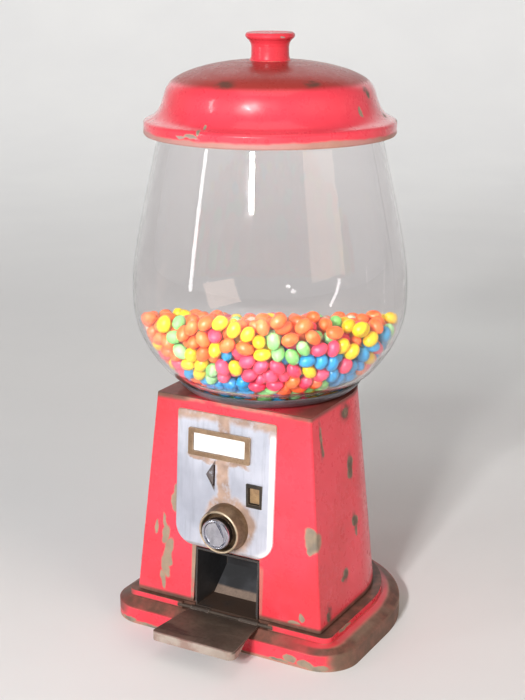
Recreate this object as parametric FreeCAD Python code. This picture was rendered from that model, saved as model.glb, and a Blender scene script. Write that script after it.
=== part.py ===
import FreeCAD, Part
import os, math
from FreeCAD import Vector as V, Rotation, Placement

os.makedirs("parts", exist_ok=True)

# ---------------------------------------------------------------- driving dimensions, mm
# frame: z = 0 is the underside of the base, the globe axis is x = y = 0, the front faces -Y
TOTAL_H = 400.0
# body shell: flat front, straight sides, half-round back; it narrows upward
BODY_Z0, BODY_Z1 = 22.4, 165.0
BODY_HW0, BODY_HW1 = 71.6, 58.2
BODY_YF0, BODY_YF1 = -61.5, -51.7
BODY_YC = 3.25
WALL = 3.0
TOP_PLATE_Z = 161.0
# base casting
BASE_HW, BASE_YF, BASE_YC, BASE_RF, BASE_EDGE_Z = 92.0, -71.5, -0.5, 25.0, 11.25
PLINTH_Z0, PLINTH_Z1, PLINTH_HW, PLINTH_YF = 16.5, 21.0, 78.6, -63.6
# knob and drive
KZ = 82.0
SHAFT_R = 4.0
RUN = 0.05
PINION_N, GEAR_N = 8, 24
PINION_RP, GEAR_RP = 7.0, 21.0
# candy wheel
WHEEL_R, WHEEL_Z0, WHEEL_Z1, POCKET_R = 44.0, 151.5, 160.0, 7.6
TUBE_X, TUBE_Y, TUBE_RO, TUBE_RI = 15.0, -30.5, 8.5, 7.5
PLATE_T = 1.6
# tray flap
PIN_Y, PIN_Z = -63.0, 18.6
TRAY_Y1 = -106.0
# lid
LID_SEAT_Z = 349.5
GLASS_T = 2.2

LEAN = math.degrees(math.atan((BODY_YF1 - BODY_YF0) / (BODY_Z1 - BODY_Z0)))


def hw(z):
    return BODY_HW0 + (BODY_HW1 - BODY_HW0) * (z - BODY_Z0) / (BODY_Z1 - BODY_Z0)


def yf(z):
    return BODY_YF0 + (BODY_YF1 - BODY_YF0) * (z - BODY_Z0) / (BODY_Z1 - BODY_Z0)


def dwire(h, front, yc, z, rf):
    """A D-shaped outline: flat front, rounded front corners, straight sides, half-round back."""
    k = rf * (1 - math.sqrt(0.5))
    p = [V(-h + rf, front, z), V(h - rf, front, z), V(h, front + rf, z), V(h, yc, z),
         V(-h, yc, z), V(-h, front + rf, z)]
    e = [Part.LineSegment(p[0], p[1]).toShape(),
         Part.Arc(p[1], V(h - k, front + k, z), p[2]).toShape(),
         Part.LineSegment(p[2], p[3]).toShape(),
         Part.Arc(p[3], V(0, yc + h, z), p[4]).toShape(),
         Part.LineSegment(p[4], p[5]).toShape(),
         Part.Arc(p[5], V(-h + k, front + k, z), p[0]).toShape()]
    return Part.Wire(e)


def prism(h, front, yc, rf, z0, z1):
    return Part.Face(dwire(h, front, yc, z0, rf)).extrude(V(0, 0, z1 - z0))


def body_loft(off, z0, z1, rf):
    a = dwire(hw(z0) - off, yf(z0) + off, BODY_YC, z0, rf)
    b = dwire(hw(z1) - off, yf(z1) + off, BODY_YC, z1, rf)
    return Part.makeLoft([a, b], True, True)


def box(x0, x1, y0, y1, z0, z1):
    return Part.makeBox(x1 - x0, y1 - y0, z1 - z0, V(x0, y0, z0))


def cylz(r, z0, z1, x=0.0, y=0.0):
    return Part.makeCylinder(r, z1 - z0, V(x, y, z0))


def cyly(r, y0, y1, x=0.0, z=0.0):
    return Part.makeCylinder(r, y1 - y0, V(x, y0, z), V(0, 1, 0))


def cylx(r, x0, x1, y=0.0, z=0.0):
    return Part.makeCylinder(r, x1 - x0, V(x0, y, z), V(1, 0, 0))


def poly_xz(pts, y0, y1):
    w = Part.makePolygon([V(x, y0, z) for x, z in pts] + [V(pts[0][0], y0, pts[0][1])])
    return Part.Face(w).extrude(V(0, y1 - y0, 0))


def poly_yz(pts, x0, x1):
    w = Part.makePolygon([V(x0, y, z) for y, z in pts] + [V(x0, pts[0][0], pts[0][1])])
    return Part.Face(w).extrude(V(x1 - x0, 0, 0))


def rev(pts, x=0.0, y=0.0):
    w = Part.makePolygon([V(r, 0, z) for r, z in pts] + [V(pts[0][0], 0, pts[0][1])])
    s = Part.Face(w).revolve(V(0, 0, 0), V(0, 0, 1), 360)
    s.translate(V(x, y, 0))
    return s


def revy(pts, x=0.0, z=0.0):
    """Profile of (radius, y) turned about an axis parallel to Y."""
    w = Part.makePolygon([V(r, y, 0) for r, y in pts] + [V(pts[0][0], pts[0][1], 0)])
    s = Part.Face(w).revolve(V(0, 0, 0), V(0, 1, 0), 360)
    s.translate(V(x, 0, z))
    return s


def solid(s):
    if s.ShapeType == "Solid" and s.Volume > 0:
        return s
    if s.Volume < 0:
        s = s.copy()
        s.reverse()
    ss = s.Solids
    return ss[0] if len(ss) == 1 else s


def fuse(*a):
    s = a[0].multiFuse(list(a[1:]))
    return s.removeSplitter()


PARTS = []


def save(name, shape):
    if not shape.isValid():
        print("INVALID", name)
    bb = shape.BoundBox
    print("%-18s solids=%d vol=%9.1f  x %.1f..%.1f y %.1f..%.1f z %.1f..%.1f" % (
        name, len(shape.Solids), shape.Volume, bb.XMin, bb.XMax, bb.YMin, bb.YMax, bb.ZMin, bb.ZMax))
    s = shape if len(shape.Solids) != 1 else shape.Solids[0]
    s.exportStep("parts/%s.step" % name)
    PARTS.append(name)


def on_front(shape):
    """Local frame: y = 0 is the front face, z = 0 at knob height; leans with the front."""
    s = shape.copy()
    s.Placement = Placement(V(0, yf(KZ), KZ), Rotation(V(1, 0, 0), -LEAN)).multiply(s.Placement)
    return s


OUTER = body_loft(0.0, BODY_Z0, BODY_Z1, 2.0)
INNER = body_loft(WALL, BODY_Z0 - 0.001, TOP_PLATE_Z, 1.0)
INNER_BIG = body_loft(WALL, BODY_Z0, TOP_PLATE_Z, 1.0)
OUTER_BIG = body_loft(0.0, 15.0, BODY_Z1 + 3.0, 2.0)

LUGS = [(-63.5, -53.0), (63.5, -53.0), (-51.0, 41.0), (51.0, 41.0)]

# ---------------------------------------------------------------- base
base = prism(BASE_HW, BASE_YF, BASE_YC, BASE_RF, 0.0, BASE_EDGE_Z)
slope = Part.makeLoft([dwire(BASE_HW, BASE_YF, BASE_YC, BASE_EDGE_Z, BASE_RF),
                       dwire(79.8, -64.3, 1.0, PLINTH_Z0, 10.0)], True, True)
base = fuse(base, slope, prism(PLINTH_HW, PLINTH_YF, 1.0, 6.0, PLINTH_Z0, PLINTH_Z1),
            prism(69.6, -59.6, BODY_YC, 2.0, PLINTH_Z1, BODY_Z0))
base = base.cut(prism(86.0, -65.5, -0.5, 20.0, -1.0, 7.0))
base = base.cut(prism(73.0, -58.0, 1.0, 6.0, 6.0, 17.0))
base = base.cut(box(-25.0, 25.0, -58.0, -18.8, 19.0, 24.0))
base = base.cut(box(-33.6, 33.6, -80.0, -60.8, 16.4, 24.0))
base = base.cut(box(-25.0, 25.0, -61.0, -57.5, 19.0, 24.0))
base = base.cut(cylx(1.25, -37.0, 37.0, PIN_Y, PIN_Z))
for x, y in LUGS:
    base = base.cut(cylz(2.3, 10.0, 24.0, x, y))
STAND = [(-40.0, -30.0), (40.0, -30.0), (-40.0, 30.0), (40.0, 30.0)]
for x, y in STAND:
    base = base.fuse(cylz(6.0, 0.0, 17.0, x, y).cut(cylz(2.5, -1.0, 14.0, x, y)))
    base = base.cut(cylz(2.5, -1.0, 14.0, x, y))
base = base.removeSplitter()
save("base_casting", base)

scr = [fuse(cylz(4.2, 13.8, 17.0, x, y), cylz(2.0, 17.0, 31.0, x, y)) for x, y in LUGS]
save("base_screws", Part.makeCompound(scr))

# ---------------------------------------------------------------- body shell
shell = OUTER.cut(INNER)
lug = [cylz(6.0, BODY_Z0, 36.0, x, y).common(OUTER).cut(cylz(2.0, 20.0, 32.0, x, y)) for x, y in LUGS]
shell = fuse(shell, *lug)
for x, y in LUGS:
    shell = shell.cut(cylz(2.0, 20.0, 32.0, x, y))
shell = shell.cut(cylz(46.5, 160.0, 166.0))
shell = shell.cut(poly_xz([(-25.9, 20.0), (25.9, 20.0), (24.6, 63.0), (-24.6, 63.0)], -70.0, -50.0))
shell = shell.cut(cyly(6.6, -70.0, -50.0, 0.0, KZ))
SLOT = (-12.2, -10.3, 108.0, 122.8)
shell = shell.cut(box(SLOT[0], SLOT[1], -70.0, -45.0, SLOT[2], SLOT[3]))
shell = shell.cut(box(13.9, 25.8, -70.0, -45.0, 98.5, 114.7))
shell = shell.cut(box(-36.4, 36.4, 20.0, 90.0, 25.6, 60.4))
for q in shell.Solids:
    print("  shell piece", round(q.Volume, 2), q.BoundBox)
save("body_shell", max(shell.Solids, key=lambda q: q.Volume))

# ---------------------------------------------------------------- front plate and its furniture
PL = (-40.5, 34.5, 63.5 - KZ, 157.4 - KZ)


def rrect(x0, x1, z0, z1, rb, rt, y0, y1):
    k = lambda r: r * (1 - math.sqrt(0.5))
    L = lambda a, b: Part.LineSegment(a, b).toShape()
    A = lambda a, b, c: Part.Arc(a, b, c).toShape()
    P = lambda x, z: V(x, y0, z)
    e = [L(P(x0 + rb, z0), P(x1 - rb, z0)),
         A(P(x1 - rb, z0), P(x1 - k(rb), z0 + k(rb)), P(x1, z0 + rb)),
         L(P(x1, z0 + rb), P(x1, z1 - rt)),
         A(P(x1, z1 - rt), P(x1 - k(rt), z1 - k(rt)), P(x1 - rt, z1)),
         L(P(x1 - rt, z1), P(x0 + rt, z1)),
         A(P(x0 + rt, z1), P(x0 + k(rt), z1 - k(rt)), P(x0, z1 - rt)),
         L(P(x0, z1 - rt), P(x0, z0 + rb)),
         A(P(x0, z0 + rb), P(x0 + k(rb), z0 + k(rb)), P(x0 + rb, z0))]
    return Part.Face(Part.Wire(e)).extrude(V(0, y1 - y0, 0))


plate = rrect(PL[0], PL[1], PL[2], PL[3], 14.0, 2.0, -PLATE_T, 0.0)
rim = [e for e in plate.Edges if all(abs(v.Point.y + PLATE_T) < 1e-6 for v in e.Vertexes)]
plate = on_front(plate.makeFillet(0.9, rim))
plate_full = plate.copy()
plate = plate.cut(cyly(6.6, -70.0, -50.0, 0.0, KZ))
plate = plate.cut(box(SLOT[0], SLOT[1], -70.0, -45.0, SLOT[2], SLOT[3]))
plate = plate.cut(on_front(poly_xz([(-17.2, 115.4 - KZ), (-12.2, 108.4 - KZ), (-12.2, 122.4 - KZ)], -1.8, -0.6)))
plate = plate.cut(box(13.9, 25.8, -70.0, -45.0, 98.5, 114.7))
save("faceplate", plate)

frame = on_front(rrect(-31.0, 16.2, 127.2 - KZ, 146.0 - KZ, 1.2, 1.2, -2.9, -PLATE_T).cut(
    rrect(-27.3, 12.3, 130.4 - KZ, 142.9 - KZ, 0.8, 0.8, -3.0, 0.0)))
save("label_frame", frame)
save("price_card", on_front(box(-27.0, 12.0, -1.9, -PLATE_T, 130.8 - KZ, 142.5 - KZ)))

bez = revy([(6.6, -50.0), (16.3, -50.0), (16.3, -60.6), (15.9, -61.8), (15.3, -66.0), (15.0, -69.4), (14.7, -70.2), (14.2, -70.6),
            (13.6, -70.4), (13.2, -69.7), (13.1, -69.0), (13.0, -62.0), (6.6, -62.0)], 0.0, KZ)
bez = bez.cut(OUTER_BIG).cut(plate_full)
bez = max(bez.Solids, key=lambda s: s.Volume)
save("knob_bezel", bez)
save("knob_bush", cyly(6.5, -61.9, -53.8, 0.0, KZ).cut(cyly(SHAFT_R + RUN, -70.0, -50.0, 0.0, KZ)))

bb = box(14.0, 25.7, -57.9, -43.5, 98.6, 114.6)
bb = bb.cut(box(15.7, 24.1, -60.0, -45.0, 101.0, 112.3)).cut(cyly(2.3, -46.0, -43.0, 19.9, 106.6))
save("button_bezel", bb)
save("return_button", fuse(box(16.1, 23.7, -56.2, -50.6, 101.4, 111.9), cyly(2.0, -50.6, -42.6, 19.9, 106.6)))


# each spring's solid is the sleeve that its coils fill
save("button_spring", cyly(3.3, -50.5, -48.4, 19.9, 106.6).cut(cyly(2.5, -51.0, -48.0, 19.9, 106.6)))

guide = box(-14.1, -8.3, -60.0, -37.0, 98.8, 126.0).cut(box(SLOT[0], SLOT[1], -60.0, -38.2, 98.0, 124.6))
save("coin_guide", guide.common(INNER_BIG))

# ---------------------------------------------------------------- chute, ramp, drop tube
cb = box(-24.4, 24.4, -63.0, -19.5, 19.2, 62.0).cut(box(-23.2, 23.2, -64.0, -20.7, 20.4, 60.8))
cb = cb.cut(cylz(TUBE_RI + 0.1, 60.0, 63.0, TUBE_X, TUBE_Y))
for y in (-45.0, -24.0):
    cb = cb.cut(cylz(1.5, 60.0, 63.0, -11.0, y))
cb = cb.common(OUTER_BIG).cut(box(-30.0, 30.0, -70.0, -60.8, 10.0, 23.0))
save("chute_box", cb)
ramp = poly_yz([(-38.5, 20.4), (-36.6, 20.4), (-20.7, 33.6), (-20.7, 35.2)], -23.1, 23.1)
save("chute_ramp", ramp)
tube = cylz(TUBE_RO, 62.0, 148.0, TUBE_X, TUBE_Y).cut(cylz(TUBE_RI, 61.0, 149.0, TUBE_X, TUBE_Y))
save("drop_tube", tube)

cc = box(24.6, 32.0, -60.0, -12.0, 0.0, 12.0).cut(box(25.8, 30.8, -61.0, -11.0, 1.2, 13.0))
cc.Placement = Placement(V(0, 0, 60.0), Rotation(V(1, 0, 0), -13.0)).multiply(cc.Placement)
save("coin_chute", cc.common(body_loft(WALL, BODY_Z0, TOP_PLATE_Z, 1.0)))

# ---------------------------------------------------------------- mechanism bracket
mb = fuse(box(-14.0, 5.5, -52.0, 10.0, 62.0, 65.0), box(-9.0, 9.0, -14.0, -10.0, 62.0, KZ + 3.0),
          cyly(7.5, -14.0, -10.0, 0.0, KZ), cylz(7.0, 62.0, 75.0), box(-9.0, 9.0, -14.0, 10.0, 62.0, 65.0))
mb = mb.cut(cyly(SHAFT_R + RUN, -15.0, -9.0, 0.0, KZ)).cut(cylz(SHAFT_R + RUN, 61.0, 76.0))
for y in (-45.0, -24.0):
    mb = mb.cut(cylz(1.5, 61.0, 66.0, -11.0, y))
save("mech_bracket", mb.removeSplitter())
save("bracket_screws", Part.makeCompound(
    [fuse(cylz(2.6, 65.0, 67.0, -11.0, y), cylz(1.4, 60.0, 65.0, -11.0, y)) for y in (-45.0, -24.0)]))

PX, PZ = 19.0, 71.0
save("pawl_pin", cyly(2.0, -60.0, -45.0, PX, PZ).common(INNER_BIG))
pawl = fuse(poly_xz([(13.45, 80.6), (14.0, 77.8), (15.2, 71.0), (22.8, 71.0), (20.5, 77.0), (16.4, 80.8), (14.6, 81.8)],
                    -52.5, -49.9), cyly(4.0, -52.5, -49.9, PX, PZ)).cut(cyly(2.0 + RUN, -54.0, -48.0, PX, PZ))
save("pawl", pawl)
save("pawl_spring", cyly(3.3, -49.8, -46.8, PX, PZ).cut(cyly(2.4, -50.0, -46.0, PX, PZ)))

# ---------------------------------------------------------------- knob group
save("knob_shaft", cyly(SHAFT_R, -72.5, -7.6, 0.0, KZ))
knob = revy([(4.0, -62.6), (8.8, -62.6), (8.9, -66.0), (10.2, -68.4), (10.5, -69.4), (10.5, -73.4), (10.35, -74.1), (9.95, -74.6),
             (9.4, -74.8), (8.8, -74.6), (8.45, -74.1), (8.2, -73.4), (7.6, -73.1), (0.0, -73.1), (0.0, -72.5), (4.0, -72.5)], 0.0, KZ)
# the grip is a wedge like a shield: narrow at the top, wide at the bottom, with a ridge down its middle
grip = poly_xz([(-0.9, 8.6), (0.9, 8.6), (3.4, 3.6), (5.5, -1.6), (5.6, -4.6), (3.6, -7.6), (-3.6, -7.6), (-5.6, -4.6), (-5.5, -1.6),
                (-3.4, 3.6)], -76.0, -72.9)
roof = Part.Face(Part.makePolygon([V(-6.2, -72.9, -9), V(-6.2, -73.5, -9), V(0, -75.6, -9), V(6.2, -73.5, -9), V(6.2, -72.9, -9),
                                   V(-6.2, -72.9, -9)])).extrude(V(0, 0, 18))
grip = grip.common(roof).common(cyly(8.7, -76.0, -72.9, 0.0, 0.0))
grip.translate(V(0, 0, KZ))
knob = fuse(knob, grip)
save("turn_knob", knob)

rat = []
NR = 12
for i in range(NR):
    a0 = 2 * math.pi * i / NR
    a1 = 2 * math.pi * (i + 1) / NR
    rat.append((13.0 * math.cos(a0), 13.0 * math.sin(a0)))
    rat.append((10.6 * math.cos(a1 - 0.03), 10.6 * math.sin(a1 - 0.03)))
r_ = poly_xz(rat, -52.6, -49.6)
r_.translate(V(0, 0, KZ))
save("ratchet_wheel", r_.cut(cyly(SHAFT_R, -55.0, -45.0, 0.0, KZ)))
drum = cyly(16.0, -49.6, -40.0, 0.0, KZ).cut(cyly(SHAFT_R, -55.0, -35.0, 0.0, KZ))
drum = drum.cut(box(-12.4, -10.0, -50.0, -39.0, KZ + 3.0, KZ + 17.0))
save("coin_drum", drum)


def gear_pts(n, rr, rt, wr, wt):
    pts = []
    for i in range(n):
        a = 2 * math.pi * i / n + math.pi / 2
        for r, w in ((rr, wr), (rt, wt), (rt, -wt), (rr, -wr)):
            b = a - math.asin(w / 2.0 / r)
            pts.append((r * math.cos(b), r * math.sin(b)))
    return pts


pin = poly_xz(gear_pts(PINION_N, 5.5, 8.3, 2.3, 1.2), -23.4, -18.6)
pin.translate(V(0, 0, KZ))
pin = fuse(pin, cyly(6.2, -18.6, -15.6, 0.0, KZ)).cut(cyly(SHAFT_R, -30.0, -10.0, 0.0, KZ))
save("drive_pinion", pin)
save("shaft_clip", cyly(6.0, -9.4, -8.2, 0.0, KZ).cut(cyly(SHAFT_R, -11.0, -5.0, 0.0, KZ)))

# ---------------------------------------------------------------- candy wheel group
hous = rev([(5.5, 148.0), (46.3, 148.0), (46.3, 165.0), (49.0, 165.0), (49.0, 166.2), (44.5, 166.2), (44.5, 151.0), (5.5, 151.0)])
hous = hous.cut(cylz(TUBE_RI, 147.0, 152.0, TUBE_X, TUBE_Y))
save("wheel_housing", hous)
save("wheel_bush", rev([(SHAFT_R + RUN, 143.0), (8.0, 143.0), (8.0, 148.0), (5.4, 148.0), (5.4, 151.0), (SHAFT_R + RUN, 151.0)]))
WA = math.degrees(math.atan2(TUBE_Y, TUBE_X))
wh = cylz(WHEEL_R, WHEEL_Z0, WHEEL_Z1).cut(cylz(SHAFT_R, 150.0, 161.0))
for i in range(3):
    a = math.radians(WA + 60 + 120 * i)
    wh = wh.cut(cylz(POCKET_R, 150.0, 161.0, 34.0 * math.cos(a), 34.0 * math.sin(a)))
save("dispensing_wheel", wh)
save("wheel_shaft", cylz(SHAFT_R, 63.0, 162.0))

ag = cylz(6.5, WHEEL_Z1, 165.6).cut(cylz(SHAFT_R, 159.0, 162.0))
for a in (20.0, 200.0):
    arm = cylx(1.2, 5.0, 27.0, 0.0, 163.6)
    tip = cylz(1.2, 163.6, 165.8, 27.0, 0.0)
    s = fuse(arm, tip, Part.makeSphere(1.2, V(27.0, 0, 163.6)))
    s.rotate(V(0, 0, 0), V(0, 0, 1), a)
    ag = ag.fuse(s)
save("agitator", ag.removeSplitter())

sect = Part.makeCylinder(44.5, 1.2, V(0, 0, 160.5), V(0, 0, 1), 56).cut(cylz(18.0, 160.0, 163.0))
sect.rotate(V(0, 0, 0), V(0, 0, 1), WA - 28)
save("cutoff_plate", sect)

gz = KZ + PINION_RP
disc = rev([(SHAFT_R, 90.8), (23.0, 90.8), (23.0, 94.2), (9.0, 94.2), (8.0, 100.0), (SHAFT_R, 100.0)])
teeth = []
for i in range(GEAR_N):
    a = -90 + 7.5 + 15.0 * i
    t = Part.makePolygon([V(19.0, -1.25, 91.0), V(19.0, -0.6, gz - 1.3), V(19.0, 0.6, gz - 1.3), V(19.0, 1.25, 91.0), V(19.0, -1.25, 91.0)])
    t = Part.Face(t).extrude(V(4.0, 0, 0))
    t.rotate(V(0, 0, 0), V(0, 0, 1), a)
    teeth.append(t.common(rev([(0.0, 80.0), (23.0, 80.0), (23.0, 92.0), (0.0, 92.0)])))
save("crown_gear", fuse(disc, *teeth))

# ---------------------------------------------------------------- collar, gasket, globe, candy
col = rev([(50.4, 165.0), (54.0, 165.8), (58.5, 168.0), (61.6, 170.8), (63.0, 173.0), (62.4, 173.6), (61.4, 173.4),
           (59.2, 171.0), (59.2, 170.0), (54.5, 170.0), (49.4, 166.6), (49.4, 165.0)])
save("globe_collar", col)
save("globe_gasket", rev([(54.8, 170.0), (58.9, 170.0), (58.9, 171.2), (54.8, 171.2)]))

GP = [(58.3, 171.2), (60.3, 173.3), (63.5, 175.2), (67.6, 177.6), (75.7, 186.0), (82.6, 196.0), (87.3, 206.0),
      (90.6, 218.0), (91.5, 232.0), (91.0, 246.0), (88.8, 262.0), (85.3, 280.0), (81.0, 300.0), (76.5, 320.0),
      (72.8, 336.0), (71.6, 342.0), (71.2, 346.5)]


def offset(pts, d):
    out = []
    for i, (r, z) in enumerate(pts):
        a = pts[max(i - 1, 0)]
        b = pts[min(i + 1, len(pts) - 1)]
        tx, tz = b[0] - a[0], b[1] - a[1]
        l = math.hypot(tx, tz)
        out.append((r - d * tz / l, z + d * tx / l))
    return out


def spline(pts):
    c = Part.BSplineCurve()
    c.interpolate([V(r, 0, z) for r, z in pts])
    return c.toShape()


def between(outer, inner):
    o, i = spline(outer), spline(inner)
    w = Part.Wire([o, Part.LineSegment(V(outer[-1][0], 0, outer[-1][1]), V(inner[-1][0], 0, inner[-1][1])).toShape(), i,
                   Part.LineSegment(V(inner[0][0], 0, inner[0][1]), V(outer[0][0], 0, outer[0][1])).toShape()])
    return Part.Face(w).revolve(V(0, 0, 0), V(0, 0, 1), 360)


GI = offset(GP, GLASS_T)
GI[0] = (55.6, 171.2)
GI[1] = (58.3, 174.4)
GI[2] = (61.9, 176.8)
GI[-1] = (69.0, 346.5)
glass = between(GP, GI)
save("globe", glass)

FI = [(54.3, 171.9), (57.3, 175.0)] + offset(GP, GLASS_T + 0.6)[2:12]
FI[2] = (61.2, 177.6)
w = [spline(FI), Part.makePolygon([V(FI[-1][0], 0, FI[-1][1]), V(0, 0, FI[-1][1]), V(0, 0, 167.6), V(48.6, 0, 167.6),
                                   V(53.4, 0, 170.8), V(FI[0][0], 0, FI[0][1])])]
fill = Part.Face(Part.Wire([e for s in w for e in s.Edges])).revolve(V(0, 0, 0), V(0, 0, 1), 360)
az = math.radians(29.12)
nrm = V(-0.26 * math.sin(az), 0.26 * math.cos(az), 1.0)
cutter = Part.makeBox(300, 300, 150, V(-150, -150, 0))
cutter.Placement = Placement(V(0, 0, 213.5), Rotation(V(0, 0, 1), nrm)).multiply(cutter.Placement)
fill = fill.cut(cutter)
save("gum_fill", fill)

# ---------------------------------------------------------------- tray flap
o = [V(-26.8, PIN_Y + 0.4, 17.3), V(26.8, PIN_Y + 0.4, 17.3), V(31.0, TRAY_Y1 + 5.0, 17.3), V(27.2, TRAY_Y1, 17.3),
     V(-27.2, TRAY_Y1, 17.3), V(-31.0, TRAY_Y1 + 5.0, 17.3)]
arcR = Part.Arc(o[2], V(30.0, TRAY_Y1 + 1.4, 17.3), o[3]).toShape()
arcL = Part.Arc(o[4], V(-30.0, TRAY_Y1 + 1.4, 17.3), o[5]).toShape()
L = lambda a, b: Part.LineSegment(a, b).toShape()
tw = Part.Wire([L(o[0], o[1]), L(o[1], o[2]), arcR, L(o[3], o[4]), arcL, L(o[5], o[0])])
tf = Part.Face(tw)
top = tf.extrude(V(0, 0, 1.2))
low = tf.extrude(V(0, 0, -4.6))
inn = tf.copy()
inn = inn.makeOffset2D(-1.2)
lip = low.cut(Part.Face(inn.Wires[0]).extrude(V(0, 0, -4.6)) if not inn.Faces else inn.extrude(V(0, 0, -4.6)))
lip = lip.cut(box(-40.0, 40.0, -86.0, -50.0, 10.0, 17.3))
wedge = poly_yz([(-108, 12.0), (-98.0, 12.0), (-86.0, 17.3), (-108, 17.3)], -40, 40)
lip = lip.common(wedge)
kn = [cylx(1.9, a, b, PIN_Y, PIN_Z) for a, b in ((-26.0, -12.0), (12.0, 26.0))]
flap = fuse(top, lip, *kn)
flap = flap.cut(cylx(1.25 + RUN, -30.0, 30.0, PIN_Y, PIN_Z)).cut(
    box(-11.9, 11.9, PIN_Y - 2.2, PIN_Y + 3.0, 16.0, 21.0))
save("tray_flap", flap)
save("tray_pin", cylx(1.25, -37.0, 37.0, PIN_Y, PIN_Z))

# ---------------------------------------------------------------- cash drawer at the back
skin = OUTER.cut(INNER_BIG).common(box(-36.0, 36.0, 20.0, 90.0, 26.0, 60.0))
tray = box(-34.0, 34.0, -16.0, 85.0, 26.0, 57.0).cut(box(-32.8, 32.8, -14.8, 86.0, 27.2, 58.0))
tray = tray.common(INNER_BIG)
dr = fuse(skin, tray).cut(cyly(6.0 + RUN, 60.0, 90.0, 0.0, 48.0))
save("cash_drawer", dr)
lock = fuse(cyly(6.0, 65.0, 74.2, 0.0, 48.0), box(-3.0, 14.0, 62.6, 65.0, 45.0, 51.0)).cut(box(-0.6, 0.6, 72.6, 76.0, 45.5, 50.5))
save("drawer_lock", lock)
ra = []
for s in (-1, 1):
    a, b = sorted((s * 28.0, s * 38.0))
    c, d = sorted((s * 34.5, s * 38.0))
    ra.append(fuse(box(a, b, -16.0, 52.0, 22.4, 25.7), box(c, d, -16.0, 52.0, 25.7, 42.0)))
save("drawer_rails", Part.makeCompound(ra))

# ---------------------------------------------------------------- lid
LT = 1.3
LR = [(81.4, 336.4), (82.0, 337.4), (82.0, 343.8)]
LS = [(82.0, 343.8), (81.3, 345.2), (78.0, 346.8), (74.3, 349.4), (71.6, 353.0), (69.8, 357.0), (68.6, 361.0), (67.2, 365.0),
      (64.8, 368.7), (60.6, 372.0), (54.0, 375.2), (42.0, 378.9), (28.0, 381.5), (15.0, 382.5)]


seg = lambda p: [Part.LineSegment(V(a[0], 0, a[1]), V(b[0], 0, b[1])).toShape() for a, b in zip(p, p[1:])]
IS = [(80.3, 343.6)] + offset(LS, LT)[1:]
IS[1] = (79.9, 344.3)
IS[-1] = (15.0, 382.5 - LT)
so = spline(LS)
si = spline(IS)
IR = [(79.8, 336.4), (80.3, 337.6), (80.3, 343.6)]
wire = Part.Wire(seg(LR) + [so] + seg([LS[-1], (2.6, 382.5), (2.6, 382.5 - LT), IS[-1]]) + [si] + seg(list(reversed(IR))) +
                 seg([IR[0], LR[0]]))
lid = Part.Face(wire).revolve(V(0, 0, 0), V(0, 0, 1), 360)
save("lid_shell", lid)
seat = rev([(66.6, LID_SEAT_Z), (73.5, LID_SEAT_Z), (73.5, LID_SEAT_Z + 1.2), (66.6, LID_SEAT_Z + 1.2)])
inside = Part.Face(Part.Wire(seg([(0.0, 382.5 - LT), (0.0, 336.0), (80.3, 336.0), (80.3, 343.6)]) + [si] +
                             seg([IS[-1], (0.0, 382.5 - LT)]))).revolve(V(0, 0, 0), V(0, 0, 1), 360)
save("lid_seat", seat.common(inside))
save("lid_gasket", rev([(67.4, 346.5), (71.0, 346.5), (71.0, LID_SEAT_Z), (67.4, LID_SEAT_Z)]))
save("lid_knob", rev([(2.6, 382.5), (13.6, 382.5), (12.7, 383.6), (12.2, 385.4), (12.1, 388.0), (12.1, 391.4), (12.6, 393.4),
                      (13.7, 395.2), (15.2, 396.5), (15.8, 397.4), (15.9, 398.5), (15.5, 399.5), (14.7, 400.0), (13.4, 399.7),
                      (9.0, 399.2), (0.0, 399.0), (0.0, 391.0), (2.6, 391.0)]))
save("lid_screw", fuse(cylz(5.5, 378.2, 382.5 - LT), cylz(2.5, 382.5 - LT, 390.0)))
print(len(PARTS), "parts")
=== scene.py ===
import math

import bmesh
import bpy
import numpy as np
from mathutils import Matrix, Vector


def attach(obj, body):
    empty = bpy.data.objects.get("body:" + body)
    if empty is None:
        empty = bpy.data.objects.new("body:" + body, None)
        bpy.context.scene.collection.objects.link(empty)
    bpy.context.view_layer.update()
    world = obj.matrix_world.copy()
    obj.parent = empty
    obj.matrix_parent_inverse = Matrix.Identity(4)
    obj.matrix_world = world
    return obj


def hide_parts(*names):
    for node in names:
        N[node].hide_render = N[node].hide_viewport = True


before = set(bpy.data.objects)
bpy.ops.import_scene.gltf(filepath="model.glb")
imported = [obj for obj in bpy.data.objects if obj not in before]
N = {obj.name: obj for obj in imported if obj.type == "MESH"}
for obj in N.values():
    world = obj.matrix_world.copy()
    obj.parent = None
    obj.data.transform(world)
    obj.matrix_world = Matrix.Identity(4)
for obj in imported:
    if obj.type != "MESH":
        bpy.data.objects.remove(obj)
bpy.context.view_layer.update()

scene = bpy.context.scene
COLL = scene.collection

# ------------------------------------------------------------------ camera
AZ, EL = math.radians(29.12), math.radians(16.3)
DIST, FOCAL_PX, AIM_Z, X_OFF = 0.95561, 1409.04, 0.18925, 7.68
BACK = Vector((math.sin(AZ) * math.cos(EL), -math.cos(AZ) * math.cos(EL), math.sin(EL)))
cam_data = bpy.data.cameras.new("camera")
cam = bpy.data.objects.new("camera", cam_data)
COLL.objects.link(cam)
cam.location = Vector((0, 0, AIM_Z)) + BACK * DIST
cam.rotation_mode = "QUATERNION"
cam.rotation_quaternion = (-BACK).to_track_quat("-Z", "Y")
cam_data.sensor_fit = "VERTICAL"
cam_data.sensor_height = 36.0
cam_data.lens = FOCAL_PX / 700.0 * 36.0
cam_data.shift_x = -X_OFF / 700.0
cam_data.clip_start = 0.01
cam_data.dof.use_dof = False
scene.camera = cam
scene.view_settings.view_transform = "Standard"
scene.view_settings.look = "None"


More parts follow.
